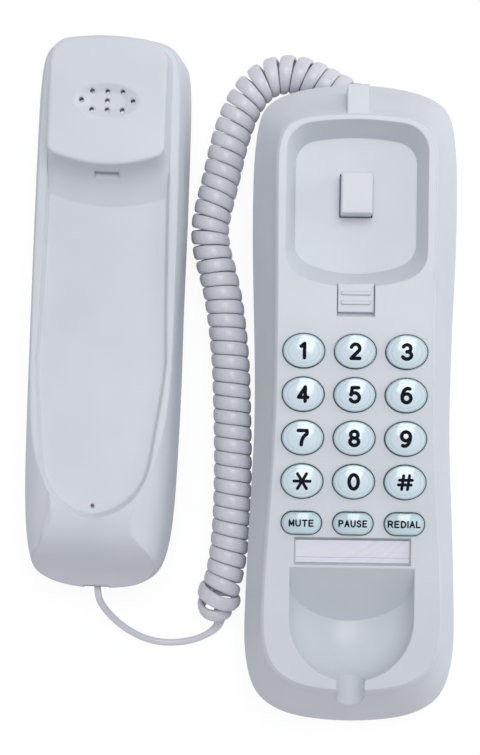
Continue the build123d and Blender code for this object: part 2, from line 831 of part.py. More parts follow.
def panel_cut():
    """The sunk grip panel, with sloping walls and a round end towards the microphone."""
    top = block_height
    faces = []
    for z in (grip_height / 2, top):
        inset = panel_wall_slope * (grip_height - z)
        half = panel_width / 2 - inset
        neck = panel_neck_width / 2 - inset
        end = panel_end_y + inset
        back = Line((-neck, panel_high), (neck, panel_high))
        right = Line((neck, panel_high), (half, panel_bend_y))
        round_end = [(half, panel_bend_y)]
        for width_share, length_share in panel_end_shares:
            round_end.append((width_share * half, panel_bend_y + length_share * (end - panel_bend_y)))
        round_end += [(-x, y) for x, y in reversed(round_end[:-1])]
        curve = Spline(*round_end)
        left = Line((-half, panel_bend_y), (-neck, panel_high))
        faces.append(Pos(0, 0, z) * make_face(Wire([back, right, curve, left])))
    return loft(faces, ruled=True) - grip_profile(panel_floor_shares, 0)


def panel_floor_line():
    """The panel floor's curve, carried on to both ends of the handset."""
    return [grip_top_shares[0]] + panel_floor_shares + [grip_top_shares[-3], grip_top_shares[-1]]


handset_half = handset_length / 2
handset_screw_places = [(0, share * handset_half) for share in handset_screw_y_shares]
jack_mouth_y = -handset_half + handset_jack_inset
handset_place = Location((handset_x, handset_y, handset_rest_z), (0, 0, handset_yaw))


def plug_gap_at_handset_end():
    gap_x = plug_width / 2 + clearance
    gap_z = plug_height / 2 + clearance
    low = handset_jack_z - gap_z
    high = handset_jack_z + gap_z
    return block_between(-gap_x, gap_x, -handset_length, jack_mouth_y, low, high)


def handset_front_shell():
    outer = grip_solid(0, 0, grip_top_shares)
    outer -= panel_cut()
    block = earpiece_block(0, block_height)
    block = fillet(block.faces().sort_by(Axis.Z)[-1].edges(), block_edge_round)
    outer += block
    inner = grip_solid(handset_wall, handset_wall, grip_top_shares)
    inner &= grip_profile(panel_floor_line(), handset_wall)
    bosses = [
        upright(x, y, handset_boss_radius, handset_boss_top, grip_height) & outer
        for x, y in handset_screw_places
    ]
    body = outer - inner
    body -= earpiece_block(handset_wall, block_height - handset_wall)
    body = body.fuse(*bosses)
    below = block_between(-handset_width, handset_width, -handset_length, handset_length, 0, parting_height)
    dish_top = Pos(0, dish_y, block_height) * Ellipse(dish_length / 2, dish_width / 2)
    dish_floor = Pos(0, dish_y, block_height - dish_depth) * Ellipse(
        dish_length / 2 * dish_floor_share, dish_width / 2 * dish_floor_share
    )
    cuts = [below - bosses[0] - bosses[1], loft([dish_floor, dish_top], ruled=True)]
    hole_low = block_height - handset_wall - overrun
    for row in (-1, 0, 1):
        reach = sound_hole_reach if row == 0 else sound_hole_step
        for column in (-1, 0, 1):
            y = dish_y + row * sound_hole_row_step
            cuts.append(upright(column * reach, y, sound_hole_radius, hole_low, block_height + overrun))
    slot_y = block_low - slot_depth
    cuts.append(block_between(-slot_width / 2, slot_width / 2, slot_y, slot_y + 2 * slot_depth, slot_low,
                              slot_low + slot_height))
    cuts.append(upright(0, microphone_hole_y, microphone_hole_radius, parting_height, block_height))
    for x, y in handset_screw_places:
        cuts.append(upright(x, y, cover_screw_radius, handset_boss_top - overrun,
                            handset_screw_seat + handset_screw_length))
    cuts.append(plug_gap_at_handset_end())
    return body.cut(*[solid for cut in cuts for solid in cut.solids()])


def back_hull(inset):
    sections = []
    for height_share, side_share, end_share in back_section_shares:
        z = inset + height_share * (parting_height - inset)
        sections.append(handset_section(
            z, inset + side_share * (handset_width / 2 - inset), inset + end_share * (handset_half - inset)
        ))
    return loft(sections, ruled=False)


def handset_back_shell():
    outer = back_hull(0)
    body = outer - back_hull(handset_wall)
    tubs = [
        upright(x, y, handset_boss_radius, 0, handset_boss_top) & outer for x, y in handset_screw_places
    ]
    half_rib = jack_rib_width / 2
    rib_top = handset_jack_z - jack_height / 2
    rib = block_between(-half_rib, half_rib, jack_mouth_y, jack_mouth_y + jack_length, 0, rib_top)
    body = body.fuse(*tubs, rib & outer)
    cuts = [plug_gap_at_handset_end()]
    for x, y in handset_screw_places:
        cuts.append(upright(x, y, cover_screw_radius + slip, 0, parting_height))
        cuts.append(upright(x, y, cover_screw_head_radius + slip, -overrun, handset_screw_seat))
    return body.cut(*cuts)


def handset_inner_parts():
    """Name and solid of what the handset holds, in the handset's own frame."""
    gasket_top = block_height - handset_wall
    receiver_top = gasket_top - gasket_thickness
    gasket = upright(0, dish_y, receiver_radius, receiver_top, gasket_top)
    gasket -= upright(0, dish_y, gasket_bore_radius, 0, block_height)
    receiver = upright(0, dish_y, receiver_radius, receiver_top - receiver_height, receiver_top)
    receiver = chamfer(receiver.edges().sort_by(Axis.Z)[0], gasket_thickness)
    boot_radius = microphone_radius + boot_wall
    boot_top = grip_height * (1 + panel_floor_shares[4][1]) - handset_wall - slip
    boot_bottom = boot_top - microphone_height - boot_wall
    boot = upright(0, microphone_hole_y, boot_radius, boot_bottom, boot_top)
    boot -= upright(0, microphone_hole_y, microphone_radius, boot_bottom + boot_wall, block_height)
    microphone = upright(0, microphone_hole_y, microphone_radius, boot_bottom + boot_wall, boot_top)
    weight = block_between(-weight_width / 2, weight_width / 2, -weight_length / 2, weight_length / 2,
                           weight_bottom, weight_bottom + weight_thickness)
    jack = Pos(0, jack_mouth_y, handset_jack_z) * Rot(0, 0, 180) * jack_solid(
        jack_width, jack_height, plug_width, plug_height, plug_in_jack + clearance
    )
    plug = Pos(0, jack_mouth_y + plug_in_jack, handset_jack_z) * Rot(0, 0, 180) * plug_solid()
    screws = [
        screw_up(x, y, handset_screw_seat, cover_screw_radius, handset_screw_length,
                 cover_screw_head_radius, cover_screw_head_height)
        for x, y in handset_screw_places
    ]
    return {
        "receiver_gasket": gasket, "receiver_capsule": receiver, "microphone_boot": boot,
        "microphone_capsule": microphone, "handset_weight": weight, "handset_jack": jack,
        "handset_cord_plug": plug, "handset_screws": Compound(children=screws),
    }


base_plug_rear_y = base_jack_front - plug_in_jack + plug_length
coil_radius = coil_outer_radius - strand_radius
strand_low_z = strand_radius + floor_gap
coil_axis = Spline(*coil_route)


def coil_point(share):
    """A point of the curly strand: share runs from 0 to 1 along the coil's axis."""
    turns_left = curl_count * (1 - share)
    opening = max(0.0, 1 - turns_left / open_curls)
    radius = coil_radius + open_curl_growth * opening**2
    centre = coil_axis @ share
    heading = coil_axis % share
    side = Vector(-heading.Y, heading.X, 0)
    angle = math.pi * (1 + 2 * curl_count * share)
    lift = strand_low_z + radius + radius * math.cos(angle)
    across = radius * math.sin(angle)
    return Vector(centre.X, centre.Y, 0) + side * across + Vector(0, 0, lift)


def coil_tangent(share):
    low = max(0.0, share - tangent_step)
    high = min(1.0, share + tangent_step)
    return (coil_point(high) - coil_point(low)).normalized()


def biarc(start, start_way, end, end_way):
    """Two tangent arcs from one point and direction to another."""
    chord = end - start
    both = start_way + end_way
    spread = 2 * (1 - start_way.dot(end_way))
    along = chord.dot(both)
    reach = (math.sqrt(along**2 + spread * chord.dot(chord)) - along) / spread
    joint = (start + end + (start_way - end_way) * reach) * 0.5
    joint_way = (end - end_way * reach - joint).normalized()
    return [Edge.make_tangent_arc(start, start_way, joint), Edge.make_tangent_arc(joint, joint_way, end)]


def coil_path():
    start = Vector(base_jack_x, base_plug_rear_y, jack_axis_z)
    straight_end = start + Vector(0, 2 * strand_radius, 0)
    edges = [Edge.make_line(start, straight_end)]
    point = straight_end
    way = Vector(0, 1, 0)
    half_turns = math.floor(2 * curl_count)
    shares = [index / (2 * curl_count) for index in range(half_turns + 1)] + [1.0]
    for share in shares:
        next_point = coil_point(share)
        next_way = coil_tangent(share)
        edges += biarc(point, way, next_point, next_way)
        point, way = next_point, next_way
    tail_way = Vector(*tail_heading, 0).normalized()
    tail_end = Vector(*tail_start, strand_low_z)
    edges += biarc(point, way, tail_end - tail_way * 2 * strand_radius, tail_way)
    edges.append(Edge.make_line(tail_end - tail_way * 2 * strand_radius, tail_end))
    return edges


def coil_solid():
    edges = coil_path()
    path = Wire(edges)
    section = Plane(origin=edges[0] @ 0, z_dir=edges[0] % 0) * Circle(strand_radius)
    solid = sweep(section, path=path)
    arcs = [edge.radius for edge in edges if edge.geom_type == GeomType.CIRCLE]
    print("coil: length", round(path.length), "mm, tightest arc", round(min(arcs), 2), "mm")
    section_area = math.pi * strand_radius**2
    print("coil: volume share of section times length", round(solid.volume / (section_area * path.length), 4))
    print("coil: least gap to itself", round(least_gap(edges), 2), "mm")
    return solid


def least_gap(edges):
    """The least gap between the strand and itself, measured on points along its path."""
    points = [edge @ (index / points_per_arc) for edge in edges for index in range(points_per_arc)]
    skipped = arcs_skipped * points_per_arc
    searched = arcs_searched * points_per_arc
    least = coil_outer_radius
    for index, point in enumerate(points):
        for other in points[index + skipped:index + searched]:
            least = min(least, (other - point).length - 2 * strand_radius)
    return least


def tail_points():
    """The straight tail's route, from the coil to the handset's plug."""
    start = Vector(*tail_start, strand_low_z)
    rear = handset_place * Pos(0, jack_mouth_y + plug_in_jack - plug_length, handset_jack_z)
    end = Vector(rear.position)
    out_way = Plane(rear).y_dir * -1
    first = start + Vector(*tail_heading, 0).normalized() * tail_first_run
    points = [start, first] + [Vector(x, y, tail_radius + floor_gap + z) for x, y, z in tail_route]
    return points + [end + out_way * tail_reach, end]


def tail_solid():
    points = tail_points()
    radii = []
    for before, point, after in zip(points, points[1:], points[2:]):
        turn = (point - before).get_angle(after - point)
        shorter = min((point - before).length, (after - point).length)
        radii.append(tail_bend_share * shorter / math.tan(math.radians(turn / 2)))
    print("tail: arc radii", [round(radius, 1) for radius in radii])
    path = FilletPolyline(*points, radius=radii)
    print("tail: length", round(path.length), "mm")
    section = Plane(origin=points[0], z_dir=points[1] - points[0]) * Circle(tail_radius)
    solid = sweep(section, path=path)
    section_area = math.pi * tail_radius**2
    print("tail: volume share of section times length", round(solid.volume / (section_area * path.length), 4))
    return solid


def base_jacks():
    handset_jack = Pos(base_jack_x, base_jack_front, jack_axis_z) * jack_solid(
        jack_width, jack_height, plug_width, plug_height, plug_in_jack + clearance
    )
    line_jack = Pos(line_jack_x, line_jack_wall_y, line_jack_axis_z) * jack_solid(
        line_jack_width, line_jack_height, line_plug_width, line_plug_height, plug_in_jack
    )
    plug = Pos(base_jack_x, base_jack_front - plug_in_jack, jack_axis_z) * plug_solid()
    return handset_jack, line_jack, plug


def main():
    nodes = {"base_top_housing": base_top_housing(), "base_bottom_cover": base_bottom_cover()}
    nodes["base_screws"] = Compound(children=cover_screw_group())
    nodes["rubber_feet"] = Compound(children=feet_group())
    for name, x, y, length, width, crown_radius, straight_sided in key_places():
        nodes[name] = key_solid(x, y, length, width, crown_radius, straight_sided)
    board, mat, keypad_screws = keypad_parts()
    nodes["keypad_circuit_board"] = board
    nodes["keypad_membrane"] = mat
    nodes["keypad_board_screws"] = Compound(children=keypad_screws)
    board, screws, components = main_board_parts()
    nodes["main_circuit_board"] = board
    nodes["main_board_screws"] = Compound(children=screws)
    nodes["board_components"] = Compound(children=components)
    nodes["ringer_buzzer"] = upright(0, ringer_y, ringer_radius, cover_top, cover_top + ringer_height)
    plunger, housing, spring = hook_switch_parts()
    nodes["hook_switch_plunger"] = plunger
    nodes["hook_switch_housing"] = housing
    nodes["hook_switch_spring"] = spring
    nodes["handset_hanger_tab"] = hanger_tab()
    nodes["index_card"], nodes["index_window"] = index_parts()
    nodes["base_handset_jack"], nodes["line_jack"], nodes["base_cord_plug"] = base_jacks()
    nodes["curly_cord_coil"] = coil_solid()
    nodes["cord_tail"] = tail_solid()
    handset = {"handset_front_shell": handset_front_shell(), "handset_back_shell": handset_back_shell()}
    handset.update(handset_inner_parts())
    for name, shape in handset.items():
        nodes[name] = handset_place * shape
    for name, shape in nodes.items():
        export_step(shape, f"parts/{name}.step")
    print(len(nodes), "nodes")


main()
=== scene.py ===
# %% [markdown]
# A corded telephone, dressed for the camera.
#
# The telephone lies open on a table: a slim base with its keypad, and beside it the handset that normally
# lies in the base's two recesses. A curly cord joins them. The solid shapes come from a CAD model, so this
# lesson is about what CAD leaves out: a cord wound from a flat strand, printed digits, clear keys, moulded
# plastic with its fine grain, and light that shows the hollows.

import bmesh
import bpy
import math
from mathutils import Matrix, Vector


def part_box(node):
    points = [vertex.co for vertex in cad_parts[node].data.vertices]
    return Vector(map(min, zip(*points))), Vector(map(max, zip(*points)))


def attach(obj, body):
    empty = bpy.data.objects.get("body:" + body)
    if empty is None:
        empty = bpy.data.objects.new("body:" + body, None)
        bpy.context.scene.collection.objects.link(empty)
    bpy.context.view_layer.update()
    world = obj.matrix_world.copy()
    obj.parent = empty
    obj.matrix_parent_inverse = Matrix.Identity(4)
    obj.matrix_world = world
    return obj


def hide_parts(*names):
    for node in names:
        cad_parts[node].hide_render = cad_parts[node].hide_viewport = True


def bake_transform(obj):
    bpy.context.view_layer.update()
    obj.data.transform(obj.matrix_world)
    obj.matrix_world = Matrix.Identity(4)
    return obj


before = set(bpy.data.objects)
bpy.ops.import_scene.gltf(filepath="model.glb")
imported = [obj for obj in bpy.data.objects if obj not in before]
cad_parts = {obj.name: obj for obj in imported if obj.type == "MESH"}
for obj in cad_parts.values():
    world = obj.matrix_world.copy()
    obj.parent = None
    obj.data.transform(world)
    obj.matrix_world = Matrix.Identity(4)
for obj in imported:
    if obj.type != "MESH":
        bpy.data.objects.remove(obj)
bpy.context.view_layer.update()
MM = 0.001

# %% [markdown]
# The picture is taken from straight above. How far the taller pieces lean away from the point under the
# lens, so that the handset shows its right wall, fits a lens about half a metre up. A camera at that
# distance, over the same point, leans them much the same way. That point isn't the picture's middle, and
# the lens shift allows for this without turning the camera.

# %% The camera
photo_width_px = 480
photo_height_px = 755
focal_length_px = 1500
under_lens_px = (290, 425)
camera_height = 510 * MM
under_lens = (-20.2 * MM, -7.5 * MM)
roll_degrees = 0.81
sensor_height_mm = 36

camera_data = bpy.data.cameras.new("phone_camera")
camera_data.sensor_fit = "VERTICAL"
camera_data.sensor_height = sensor_height_mm
camera_data.lens = sensor_height_mm * focal_length_px / photo_height_px
camera_data.shift_x = (photo_width_px / 2 - under_lens_px[0]) / photo_height_px
camera_data.shift_y = (under_lens_px[1] - photo_height_px / 2) / photo_height_px
camera_data.clip_start = 10 * MM
camera = bpy.data.objects.new("phone_camera", camera_data)
camera.location = (*under_lens, camera_height)
camera.rotation_euler = (0, 0, math.radians(roll_degrees))
bpy.context.scene.collection.objects.link(camera)
bpy.context.scene.camera = camera
camera_shift = (round(camera_data.shift_x, 3), round(camera_data.shift_y, 3))
print("lens", round(camera_data.lens, 1), "mm, shift", *camera_shift)

# %% [markdown]
# The cord's route is one smooth line: out of the base's plug, along the middle of the coil, and on through
# the straight tail to the handset's plug. Few points on a NURBS curve keep it smooth, because such a curve
# passes near its points without ever turning sharply at one. The coil rests on the table, so its middle
# line runs one coil radius above it.

# %% The cord's route
coil_outer_radius = 6.4 * MM
strand_thickness = 2.2 * MM
strand_width = 4.6 * MM
floor_gap = 0.15 * MM
coil_radius = coil_outer_radius - strand_thickness / 2
coil_axis_z = coil_radius + strand_thickness / 2 + floor_gap

base_plug_low, base_plug_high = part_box("base_cord_plug")
handset_plug_low, handset_plug_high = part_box("handset_cord_plug")
base_plug_rear = Vector((
    (base_plug_low[0] + base_plug_high[0]) / 2, base_plug_high[1], (base_plug_low[2] + base_plug_high[2]) / 2,
))
handset_yaw = math.radians(-1.5)
plug_length = 14.0 * MM
handset_heading = Vector((math.sin(handset_yaw), -math.cos(handset_yaw), 0))
handset_plug_middle = (Vector(handset_plug_low) + Vector(handset_plug_high)) / 2
handset_plug_rear = handset_plug_middle + handset_heading * (plug_length / 2)

coil_route_mm = [
    (0.5, 101.0), (-5.0, 103.8), (-10.5, 106.6), (-16.0, 109.2), (-22.4, 110.4), (-28.8, 109.0),
    (-34.0, 104.8), (-37.8, 98.6), (-40.4, 91.9), (-42.4, 84.8), (-44.5, 74.5), (-46.8, 65.2),
    (-48.2, 57.5), (-47.2, 50.0), (-45.1, 43.2), (-43.0, 34.2), (-41.5, 24.1), (-40.3, 12.4),
    (-39.8, 0.6), (-39.3, -12.8), (-39.1, -26.2), (-39.4, -39.6), (-40.0, -48.1), (-41.0, -55.8),
    (-42.6, -62.5), (-44.3, -66.5),
]
tail_route_mm = [
    (-42.2, -74.6, 1.35), (-47.6, -79.4, 1.35), (-56.5, -82.0, 1.2), (-66.5, -81.4, 1.6),
    (-75.0, -76.8, 4.6), (-80.8, -70.2, 9.8),
]
tail_reach = 4 * MM
lead_out_reach = 3.0 * MM
lead_down_reach = 6.5 * MM


def route_curve(name, points):
    """One smooth open NURBS line through space, with no thickness of its own."""
    data = bpy.data.curves.new(name, "CURVE")
    data.dimensions = "3D"
    data.resolution_u = 24
    spline = data.splines.new("NURBS")
    spline.points.add(len(points) - 1)
    for spot, point in zip(spline.points, points):
        spot.co = (*point, 1)
    spline.order_u = 3
    spline.use_endpoint_u = True
    return bpy.data.objects.new(name, data)


def points_along(curve, step):
    """Points at even steps along a curve with no bevel, and its end."""
    bpy.context.scene.collection.objects.link(curve)
    mesh = bpy.data.meshes.new_from_object(curve)
    line = [vertex.co.copy() for vertex in mesh.vertices]
    bpy.data.meshes.remove(mesh)
    bpy.data.objects.remove(curve)
    spots = [line[0]]
    wanted = step
    travelled = 0.0
    for before, after in zip(line, line[1:]):
        length = (after - before).length
        while length > 0 and travelled + length >= wanted:
            spots.append(before.lerp(after, (wanted - travelled) / length))
            wanted += step
        travelled += length
    if (spots[-1] - line[-1]).length > step / 10:
        spots.append(line[-1])
    return spots


lead_out = base_plug_rear + Vector((0, lead_out_reach, 0))
lead_down = Vector((base_plug_rear.x, base_plug_rear.y + lead_down_reach, coil_axis_z))
route_points = [base_plug_rear, lead_out, lead_down]
route_points += [Vector((x * MM, y * MM, coil_axis_z)) for x, y in coil_route_mm]
route_points += [Vector((x * MM, y * MM, z * MM)) for x, y, z in tail_route_mm]
route_points += [handset_plug_rear + handset_heading * tail_reach, handset_plug_rear]
route_step = 0.2 * MM
route = points_along(route_curve("cord_route", route_points), route_step)
print("route length", round(len(route) * route_step / MM), "mm")

# %% [markdown]
# The curly part is a helix wound round that route. A flat strand is wound curl beside curl with its wide
# side along the route, so each curl shows as a rounded rib with a dark line beside it. The strand swings out
# from the route as the coil starts, opens wider over its last curls and swings back in where the tail
# begins. In the straight tail the strand is thin and round.

# %% Wind the strand round the route
curl_count = 45.75
opening_curls = 1.4
opening_growth = 1.5 * MM
swing_length = 8.5 * MM
steps_per_curl = 26
plain_steps = 4
heading_reach = 8
plug_turn_share = 0.9


def smooth_step(share):
    share = min(1.0, max(0.0, share))
    return share * share * (3 - 2 * share)


def nearest_index(line, point):
    return min(range(len(line)), key=lambda index: (line[index] - point).length)


coil_first = nearest_index(route, Vector((coil_route_mm[0][0] * MM, coil_route_mm[0][1] * MM, coil_axis_z)))
coil_last = nearest_index(route, Vector((coil_route_mm[-1][0] * MM, coil_route_mm[-1][1] * MM, coil_axis_z)))
swing_steps = round(swing_length / route_step)
last_place = len(route) - 1.001


def strand_place(place):
    """The strand's middle and its wide direction at a place, counted in steps along the route.

    The wide direction lies across the plug at the start and then turns to follow the coil's route. The tail
    runs along the route itself, so there the wide direction turns to the side.
    """
    index = min(len(route) - 2, int(place))
    centre = route[index].lerp(route[index + 1], place - index)
    before = route[max(0, index - heading_reach)]
    after = route[min(len(route) - 1, index + 1 + heading_reach)]
    heading = (after - before).normalized()
    share = (place - coil_first) / (coil_last - coil_first)
    turns_left = curl_count * (1 - share)
    opening = min(1.0, max(0.0, 1 - turns_left / opening_curls))
    swing_in = smooth_step(1 - (coil_first - place) / swing_steps) if place < coil_first else 1.0
    swing_out = smooth_step(1 - (place - coil_last) / swing_steps) if place > coil_last else 1.0
    radius = (coil_radius + opening_growth * opening ** 2) * swing_in * swing_out
    angle = math.pi * (1 + 2 * curl_count * share)
    side = Vector((-heading.y, heading.x, 0)).normalized()
    up = heading.cross(side).normalized()
    up = up if up.z > 0 else -up
    middle = centre + side * (radius * math.sin(angle)) + up * (radius * math.cos(angle))
    middle.z = max(middle.z, strand_thickness / 2 + floor_gap)
    in_tail = smooth_step((place - coil_last) / (2 * swing_steps))
    past_plug = smooth_step(place / (coil_first * plug_turn_share))
    wide = Vector((-1, 0, 0)).lerp(heading.lerp(side, in_tail), past_plug)
    return middle, wide


coil_steps = (coil_last - coil_first) / (curl_count * steps_per_curl)
places = [0.0]
while places[-1] < last_place:
    near_coil = coil_first - swing_steps < places[-1] < coil_last + swing_steps
    places.append(min(last_place, places[-1] + (coil_steps if near_coil else plain_steps)))
strand = [strand_place(place) for place in places]

# %% [markdown]
# A tube along those places is a row of rings joined by faces. Each ring is a flattened circle: wide along
# the strand's wide direction, thin across it. Where a bend squeezes the curls together on its inside, the
# ring is narrowed a little, to leave a small gap to the next curl.

# %% Build the cord
ring_sides = 16
ring_fullness = 0.75
curl_gap = 0.15 * MM
neighbour_reach = 4


def fuller(share):
    """Pushes a sine or cosine outwards, which makes a circle's sides straighter."""
    return math.copysign(abs(share) ** ring_fullness, share)


def strand_widths():
    """The width of each ring, no wider than the room to the curl one turn away."""
    widths = []
    for index, (middle, _) in enumerate(strand):
        slimming = smooth_step((places[index] - coil_last) / (2 * swing_steps))
        widest = strand_width + slimming * (strand_thickness - strand_width)
        room = 2 * strand_width
        for turn in (-1, 1):
            low = index + turn * steps_per_curl - neighbour_reach
            for other in range(max(0, low), min(len(strand), low + 2 * neighbour_reach + 1)):
                if abs(other - index) > steps_per_curl // 2:
                    room = min(room, (strand[other][0] - middle).length)
        widths.append(max(strand_thickness, min(widest, room - curl_gap)))
    return widths


def flat_tube(name, widths):
    """A mesh tube of flattened rings along the strand."""
    mesh = bpy.data.meshes.new(name)
    bm = bmesh.new()
    rings = []
    for index, (middle, wide) in enumerate(strand):
        before = strand[max(0, index - 1)][0]
        after = strand[min(len(strand) - 1, index + 1)][0]
        along = (after - before).normalized()
        across = (wide - along * wide.dot(along)).normalized()
        thin = along.cross(across)
        ring = []
        for side in range(ring_sides):
            angle = 2 * math.pi * side / ring_sides
            swell = across * (fuller(math.cos(angle)) * widths[index] / 2)
            swell += thin * (fuller(math.sin(angle)) * strand_thickness / 2)
            ring.append(bm.verts.new(middle + swell))
        rings.append(ring)
    for low, high in zip(rings, rings[1:]):
        for side in range(ring_sides):
            next_side = (side + 1) % ring_sides
            bm.faces.new((low[side], low[next_side], high[next_side], high[side]))
    bm.faces.new(rings[0])
    bm.faces.new(list(reversed(rings[-1])))
    bmesh.ops.recalc_face_normals(bm, faces=bm.faces)
    for face in bm.faces:
        face.smooth = True
    bm.to_mesh(mesh)
    bm.free()
    piece = bpy.data.objects.new(name, mesh)
    bpy.context.scene.collection.objects.link(piece)
    return piece


curly_cord = flat_tube("curly_cord", strand_widths())
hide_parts("curly_cord_coil", "cord_tail")
print("cord mesh", len(curly_cord.data.vertices), "points")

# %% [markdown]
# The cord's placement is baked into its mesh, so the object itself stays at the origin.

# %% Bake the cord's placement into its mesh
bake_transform(curly_cord)

# %% [markdown]
# Moulded plastic is never one flat colour. Up close it has a fine even grain from the mould, and its
# colour drifts very slightly where the plastic flowed. Sharp edges are always a little rounded, which is
# what catches the light along them. The Bevel shader node rounds the shading of an edge without touching
# the mesh, and a fine noise through a Bump node gives the grain.

# %% A helper for finishes
bevel_samples = 6
drift_stops = (0.3, 0.7)
grain_stops = (0.35, 0.65)
roughness_spread = 0.04


def from_photo(red, green, blue):
    """A colour as a picture shows it, turned into the linear values that shaders use."""
    linear = []
    for value in (red, green, blue):
        share = value / 255
        linear.append(share / 12.92 if share <= 0.04045 else ((share + 0.055) / 1.055) ** 2.4)
    return (*linear, 1.0)


class Finish:
    """A material with short names for adding and joining its nodes."""

    def __init__(self, name):
        self.material = bpy.data.materials.new(name)
        self.material.use_nodes = True
        self.tree = self.material.node_tree
        self.shader = self.tree.nodes["Principled BSDF"]

    def node(self, kind, **settings):
        made = self.tree.nodes.new(kind)
        for key, value in settings.items():
            setattr(made, key, value)
        return made

    def join(self, output, target):
        self.tree.links.new(output, target)

    def noise(self, coordinates, scale, detail=2.0):
        noise = self.node("ShaderNodeTexNoise")
        noise.inputs["Scale"].default_value = scale
        noise.inputs["Detail"].default_value = detail
        self.join(coordinates, noise.inputs["Vector"])
        return noise.outputs["Fac"]

    def ramp(self, value, *stops):
        """A colour ramp; each stop is a position and a colour."""
        ramp = self.node("ShaderNodeValToRGB")
        elements = ramp.color_ramp.elements
        while len(elements) < len(stops):
            elements.new(0.5)
        for element, (position, colour) in zip(elements, stops):
            element.position = position
            element.color = colour
        self.join(value, ramp.inputs["Fac"])
        return ramp.outputs["Color"]

    def sums(self, operation, first, second):
        maths = self.node("ShaderNodeMath", operation=operation)
        for socket, value in zip(maths.inputs, (first, second)):
            if isinstance(value, (int, float)):
                socket.default_value = value
            else:
                self.join(value, socket)
        return maths.outputs["Value"]

    def grain(self, height, depth, rounding=0.0):
        """Bump of that depth on a surface whose edges are shaded round by that radius."""
        bump = self.node("ShaderNodeBump")
        bump.inputs["Distance"].default_value = depth
        self.join(height, bump.inputs["Height"])
        if rounding:
            bevel = self.node("ShaderNodeBevel", samples=bevel_samples)
            bevel.inputs["Radius"].default_value = rounding
            self.join(bevel.outputs["Normal"], bump.inputs["Normal"])
        self.join(bump.outputs["Normal"], self.shader.inputs["Normal"])


def moulded(name, light, dark, roughness, grain_size, grain_depth, rounding=0.35 * MM, drift_size=22 * MM):
    """Moulded plastic or rubber: a colour that drifts, a fine grain and softly shaded edges."""
    finish = Finish(name)
    place = finish.node("ShaderNodeTexCoord").outputs["Object"]
    drift = finish.noise(place, 1 / drift_size)
    finish.join(finish.ramp(drift, *zip(drift_stops, (dark, light))), finish.shader.inputs["Base Color"])
    fine = finish.noise(place, 1 / grain_size, detail=1.0)
    rough_low = (roughness - roughness_spread,) * 3 + (1.0,)
    rough_high = (roughness + roughness_spread,) * 3 + (1.0,)
    rough = finish.ramp(fine, *zip(grain_stops, (rough_low, rough_high)))
    finish.join(rough, finish.shader.inputs["Roughness"])
    finish.grain(fine, grain_depth, rounding)
    return finish


def dress(finish, *names):
    """Gives CAD pieces their finish."""
    for name in names:
        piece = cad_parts[name]
        piece.data.materials.clear()
        piece.data.materials.append(finish.material)


print("finish helpers ready")

# %% [markdown]
# The casing of base and handset is one batch of pale blue-grey plastic with a soft sheen. Its inner walls
# are the same plastic, so the hollows look darker only because less light reaches them. The handset's edges
# were moulded softer than the base's, so its copy of the finish shades them with a larger radius.

# %% The casing plastic
casing_light = from_photo(220, 225, 231)
casing_dark = from_photo(215, 221, 227)
for piece_names, edge_radius in (
    (("base_top_housing", "base_bottom_cover", "hook_switch_plunger", "handset_hanger_tab"), 0.6 * MM),
    (("handset_front_shell", "handset_back_shell"), 1.2 * MM),
):
    casing = moulded(
        "casing_plastic", casing_light, casing_dark, roughness=0.33, grain_size=0.35 * MM,
        grain_depth=0.012 * MM, rounding=edge_radius,
    )
    casing.shader.inputs["Specular IOR Level"].default_value = 0.42
    dress(casing, *piece_names)
print("casing plastic on 6 pieces")

# %% [markdown]
# The cord's outer skin is soft vinyl, a shade darker than the casing and a little shinier.

# %% The cord's vinyl
vinyl = moulded(
    "cord_vinyl", from_photo(226, 227, 233), from_photo(219, 221, 228), roughness=0.27,
    grain_size=0.5 * MM, grain_depth=0.01 * MM, rounding=0.0, drift_size=9 * MM,
)
curly_cord.data.materials.append(vinyl.material)
print("vinyl on the cord")

# %% [markdown]
# Each key is a clear domed cap over a pale sea-green body. Its look from above is painted in rings: a painted
# shade line where it meets the casing, painted shade inside that, a painted band of refraction, and a lighter
# oval in the middle. The material works from the key's own bounding box, so one material draws the same rings
# on every key.

# %% The keys
key_names = ["key_%d" % number for number in range(1, 10)] + ["key_star", "key_0", "key_hash"]
function_key_names = ["key_mute", "key_pause", "key_redial"]
key_grain_size = 0.8 * MM
key_grain_depth = 0.004 * MM
key_edge_radius = 0.25 * MM


def domed_key(name, straight_share, *ring_stops):
    """Clear cap over a tinted body with painted rings of shade and refraction, following an outline whose
    long sides are partly straight.
    """
    finish = Finish(name)
    coordinates = finish.node("ShaderNodeTexCoord")
    split = finish.node("ShaderNodeSeparateXYZ")
    finish.join(coordinates.outputs["Generated"], split.inputs["Vector"])
    halves = []
    for output in (split.outputs["X"], split.outputs["Y"]):
        half = finish.sums("MULTIPLY_ADD", output, 2.0)
        half.node.inputs[2].default_value = -1.0
        halves.append(finish.sums("ABSOLUTE", half, 0.0))
    past_straight = finish.sums("MAXIMUM", finish.sums("SUBTRACT", halves[0], straight_share), 0.0)
    across = finish.sums("DIVIDE", past_straight, 1 - straight_share)
    along = halves[1]
    radius = finish.sums(
        "POWER", finish.sums("ADD", finish.sums("POWER", across, 2.0), finish.sums("POWER", along, 2.0)), 0.5
    )
    finish.join(finish.ramp(radius, *ring_stops), finish.shader.inputs["Base Color"])
    fine = finish.noise(coordinates.outputs["Object"], 1 / key_grain_size)
    finish.grain(fine, key_grain_depth, key_edge_radius)
    finish.shader.inputs["Roughness"].default_value = 0.16
    finish.shader.inputs["Coat Weight"].default_value = 0.6
    finish.shader.inputs["Coat Roughness"].default_value = 0.05
    return finish
